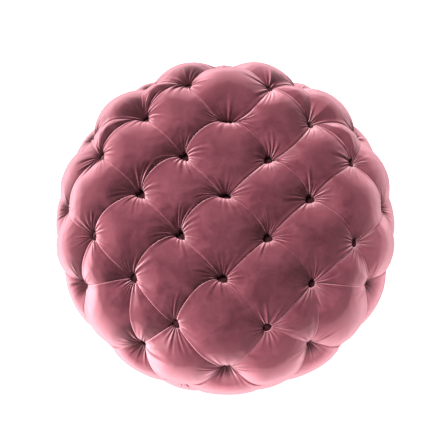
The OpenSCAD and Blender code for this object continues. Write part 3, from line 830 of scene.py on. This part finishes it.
groundMaterials = {kind: makeGround(kind) for kind in grounds}
for nodeName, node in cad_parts.items():
    starts = [start for start in nodeGrounds if nodeName.startswith(start)]
    if starts:
        ground = groundMaterials[nodeGrounds[max(starts, key=len)]]
        for materialSlot in node.material_slots:
            materialSlot.material = ground
print("materials given to the inner parts")

# the fibre has the velvet's crowns, so far below them
fibre = {"below": 0.012, "fill": 0.9}
for name, cells in (("top", topCells), ("side", sideCells)):
    filling = coverPiece("fibre_" + name, cells, groundMaterials["fibre"], coarseGrid,
                         below=fibre["below"])
    standIn(filling, "filling_" + name)
print("fibre made")

# velvet-covered buttons at the bottom of the tufts: a domed cap, a flatter back, and an edge
# gathered at every second column of points
buttonForm = {"radius": 0.011, "height": 0.006, "back": 0.7, "edge": 0.0026, "gathered": 0.93,
              "columns": 32, "rows": 16, "lift": 0.0005, "shade": 0.82,
              "rings": {"top": "buttons_top", 0: "buttons_ring_a", 1: "buttons_ring_b",
                        2: "buttons_ring_c"}}


def scalePoints(thing, wanted, scale):
    # scales, about the origin, the points for which wanted says so
    bpy.ops.object.mode_set(mode="EDIT")
    bpy.ops.mesh.select_mode(type="VERT")
    bpy.ops.mesh.select_all(action="DESELECT")
    bpy.ops.object.mode_set(mode="OBJECT")
    for point in thing.data.vertices:
        point.select = wanted(point.co)
    bpy.ops.object.mode_set(mode="EDIT")
    bpy.ops.transform.resize(value=scale, center_override=(0, 0, 0))
    bpy.ops.object.mode_set(mode="OBJECT")


def makeButton():
    form = buttonForm
    deselectAll()
    bpy.ops.mesh.primitive_uv_sphere_add(segments=form["columns"], ring_count=form["rows"],
                                         radius=form["radius"])
    button = bpy.context.object
    column = 2 * math.pi / form["columns"]

    def isGathered(p):
        return abs(p.z) < form["edge"] and round(math.atan2(p.y, p.x) / column) % 2 == 0

    scalePoints(button, lambda p: True, (1, 1, form["height"] / form["radius"]))
    scalePoints(button, lambda p: p.z < -1e-5, (1, 1, form["back"]))
    scalePoints(button, isGathered, (form["gathered"], form["gathered"], 1))
    bpy.ops.object.shade_smooth()
    button.data.materials.append(velvetMaterial)
    # the buttons take the painted pit shade, near black
    shaded = button.data.attributes.new("pit", "FLOAT", "POINT")
    shaded.data.foreach_set("value", [form["shade"]] * len(button.data.vertices))
    return button


def copyButtons(button, ring, name):
    made = []
    for key in [key for key in sorted(tuftPlaces, key=str) if key[0] == ring]:
        copied = button.copy()
        copied.data = button.data.copy()
        copied.rotation_euler = Vector(tuftOut[key]).to_track_quat("Z", "Y").to_euler()
        copied.location = tuftPlaces[key] + tuftOut[key] * buttonForm["lift"]
        scene.collection.objects.link(copied)
        made.append(copied)
    deselectAll()
    for copied in made:
        copied.select_set(True)
    bpy.context.view_layer.objects.active = made[0]
    bpy.ops.object.join()
    bpy.ops.object.transform_apply(location=True, rotation=True, scale=True)
    buttons = bpy.context.object
    buttons.name = "velvet_" + name
    standIn(buttons, name)


firstButton = makeButton()
for ring, name in buttonForm["rings"].items():
    copyButtons(firstButton, ring, name)
bpy.data.objects.remove(firstButton)
print("buttons made")

# dust cloth under the base: stapled every few centimetres, with puckers between the staples,
# held flat under the six glides, sagging a little between them, and lapped at its edge
dustCloth = {
    "radius": 0.333, "flatRadius": 0.316, "lapGap": 0.001, "z": 0.0214, "lapZ": 0.0193,
    "sag": 0.0015, "thick": 0.0005,
    "staples": 24, "turn": 2.0, "pucker": 0.0005, "puckerReach": 0.022, "pull": 0.004,
    "glides": 6, "glideRadius": 0.290, "glideTurn": 24.5, "glideHold": (0.021, 0.070),
    # rings of points on the flat part and on the lap, and points round for each staple
    "flatRings": 40, "lapRings": 9, "perStaple": 12,
}


def makeDustCloth():
    cloth = dustCloth
    flat, edge = cloth["flatRadius"], cloth["radius"]
    rings = np.concatenate([np.linspace(0, flat, cloth["flatRings"]),
                            np.linspace(flat + cloth["lapGap"], edge, cloth["lapRings"])])[1:]
    columns = cloth["staples"] * cloth["perStaple"]
    angles = np.arange(columns) * 2 * math.pi / columns
    grid, angle = np.meshgrid(rings, angles, indexing="ij")
    halfStep = 180 / cloth["staples"]
    between = np.cos(cloth["staples"] * (angle - math.radians(cloth["turn"] + halfStep)))
    x, y = grid * np.cos(angle), grid * np.sin(angle)
    free = np.ones_like(grid)
    for i in range(cloth["glides"]):
        turn = cloth["glideTurn"] + 360 / cloth["glides"] * i
        glideX, glideY, _ = polar(cloth["glideRadius"], turn, 0)
        free *= smooth(np.hypot(x - glideX, y - glideY), *cloth["glideHold"])
    z = np.where(grid <= flat, cloth["z"] - cloth["sag"] * free * np.sin(math.pi * grid / edge),
                 cloth["lapZ"])
    reach = np.exp(-(edge - grid) / cloth["puckerReach"])
    z -= cloth["pucker"] * reach * (1 - between) / 2 * free
    pull = 1 - cloth["pull"] * reach * (1 - between) / 2
    points = np.concatenate([[[0, 0, cloth["z"]]],
                             np.stack([x * pull, y * pull, z], -1).reshape(-1, 3)])
    faces = []
    for k in range(columns):
        after = (k + 1) % columns
        faces.append([0, 1 + after, 1 + k])
        for j in range(len(rings) - 1):
            low, high = 1 + j * columns, 1 + (j + 1) * columns
            faces.append([low + k, low + after, high + after, high + k])
    sheet = meshPiece("dust_cloth_sheet", points, faces, groundMaterials["nonwoven"], {})
    shell = sheet.modifiers.new("thickness", "SOLIDIFY")
    shell.thickness = cloth["thick"]
    shell.offset = -1
    standIn(sheet, "dust_cloth")


makeDustCloth()
print("dust cloth made")

# pale floor, soft lamps and a white sky
studio = {
    "sky": 0.20,
    "aim": (0.0, 0.0, 0.2),
    # place, width and height, watts
    "lamps": {
        "key": ((-1.00, 0.50, 2.70), (0.7, 0.7), 51.0),
        "fill": ((-0.45, -1.75, 0.95), (1.6, 0.5), 11.5),
        "lowLeft": ((-1.70, -0.65, 0.19), (1.5, 0.3), 16.0),
        "lowRight": ((1.8, -0.2, 0.19), (1.6, 0.3), 14.0),
        "lowFront": ((0.2, -1.8, 0.19), (1.6, 0.3), 10.0),
        "lowBack": ((0.0, 1.8, 0.19), (1.5, 0.3), 12.0),
    },
    "floorSize": 30, "floorColor": "#dddbd8", "floorSeen": "#fbfbfb",
    # glow of the floor that the camera sees, under the pouf and in the open, and how far the
    # painted contact shadow in that glow reaches
    "floorGlow": (0.25, 0.81), "paintedContactShadow": 0.14,
}


def makeFloor():
    # the camera and reflections see it as white, with the pouf's own shadow and a painted contact
    # shadow under it
    material, shader, links = newMaterial("studio floor")
    shader.inputs["Base Color"].default_value = linearColor(studio["floorColor"])
    shader.inputs["Roughness"].default_value = 0.9
    ray = addNode(material, "ShaderNodeLightPath")
    glossy = addNode(material, "ShaderNodeMath",
                     [(ray.outputs["Is Camera Ray"], 0), (ray.outputs["Is Glossy Ray"], 1)],
                     _operation="MAXIMUM")
    seen = addNode(material, "ShaderNodeMath",
                   [(glossy.outputs[0], 0), (ray.outputs["Is Transmission Ray"], 1)],
                   _operation="MAXIMUM")
    # painted contact shadow: the glow is darker where the pouf is near
    near = addNode(material, "ShaderNodeAmbientOcclusion", Distance=studio["paintedContactShadow"])
    darkest, palest = studio["floorGlow"]
    level = addNode(material, "ShaderNodeMapRange", [(near.outputs["AO"], "Value")],
                    From_Min=0.15, From_Max=0.85, To_Min=darkest, To_Max=palest)
    glow = addNode(material, "ShaderNodeEmission", [(level.outputs[0], "Strength")],
                   Color=(1, 1, 1, 1))
    pale = addNode(material, "ShaderNodeBsdfDiffuse", Color=linearColor(studio["floorSeen"]))
    lit = addNode(material, "ShaderNodeAddShader", [(pale.outputs[0], 0), (glow.outputs[0], 1)])
    mix = addNode(material, "ShaderNodeMixShader",
                  [(seen.outputs[0], 0), (shader.outputs[0], 1), (lit.outputs[0], 2)])
    # clear from below, so that the underside can be looked at
    side = addNode(material, "ShaderNodeNewGeometry")
    clear = addNode(material, "ShaderNodeBsdfTransparent")
    ends = addNode(material, "ShaderNodeMixShader",
                   [(side.outputs["Backfacing"], 0), (mix.outputs[0], 1), (clear.outputs[0], 2)])
    links.new(ends.outputs[0], material.node_tree.nodes["Material Output"].inputs["Surface"])
    deselectAll()
    bpy.ops.mesh.primitive_plane_add(size=studio["floorSize"], location=(0, 0, 0))
    floor = bpy.context.object
    floor.name = "floor"
    floor.data.materials.append(material)


def makeSky():
    # white to the camera, and a weak even light on the pouf
    world = bpy.data.worlds.new("studio")
    scene.world = world
    world.use_nodes = True
    sky = world.node_tree.nodes["Background"]
    sky.inputs["Color"].default_value = (1, 1, 1, 1)
    ray = addNode(world, "ShaderNodeLightPath")
    level = addNode(world, "ShaderNodeMapRange", [(ray.outputs["Is Camera Ray"], "Value")],
                    To_Min=studio["sky"], To_Max=1.0)
    world.node_tree.links.new(level.outputs[0], sky.inputs["Strength"])


def addLamp(name, place, size, watts):
    data = bpy.data.lights.new(name, "AREA")
    data.energy = watts
    data.shape = "RECTANGLE"
    data.size, data.size_y = size
    lamp = bpy.data.objects.new(name, data)
    lamp.location = place
    lamp.rotation_euler = turnTo(place, studio["aim"])
    scene.collection.objects.link(lamp)


makeFloor()
makeSky()
for name, (place, size, watts) in studio["lamps"].items():
    addLamp(name, place, size, watts)
print("floor, sky and lamps made")

scene.view_settings.view_transform = "Standard"
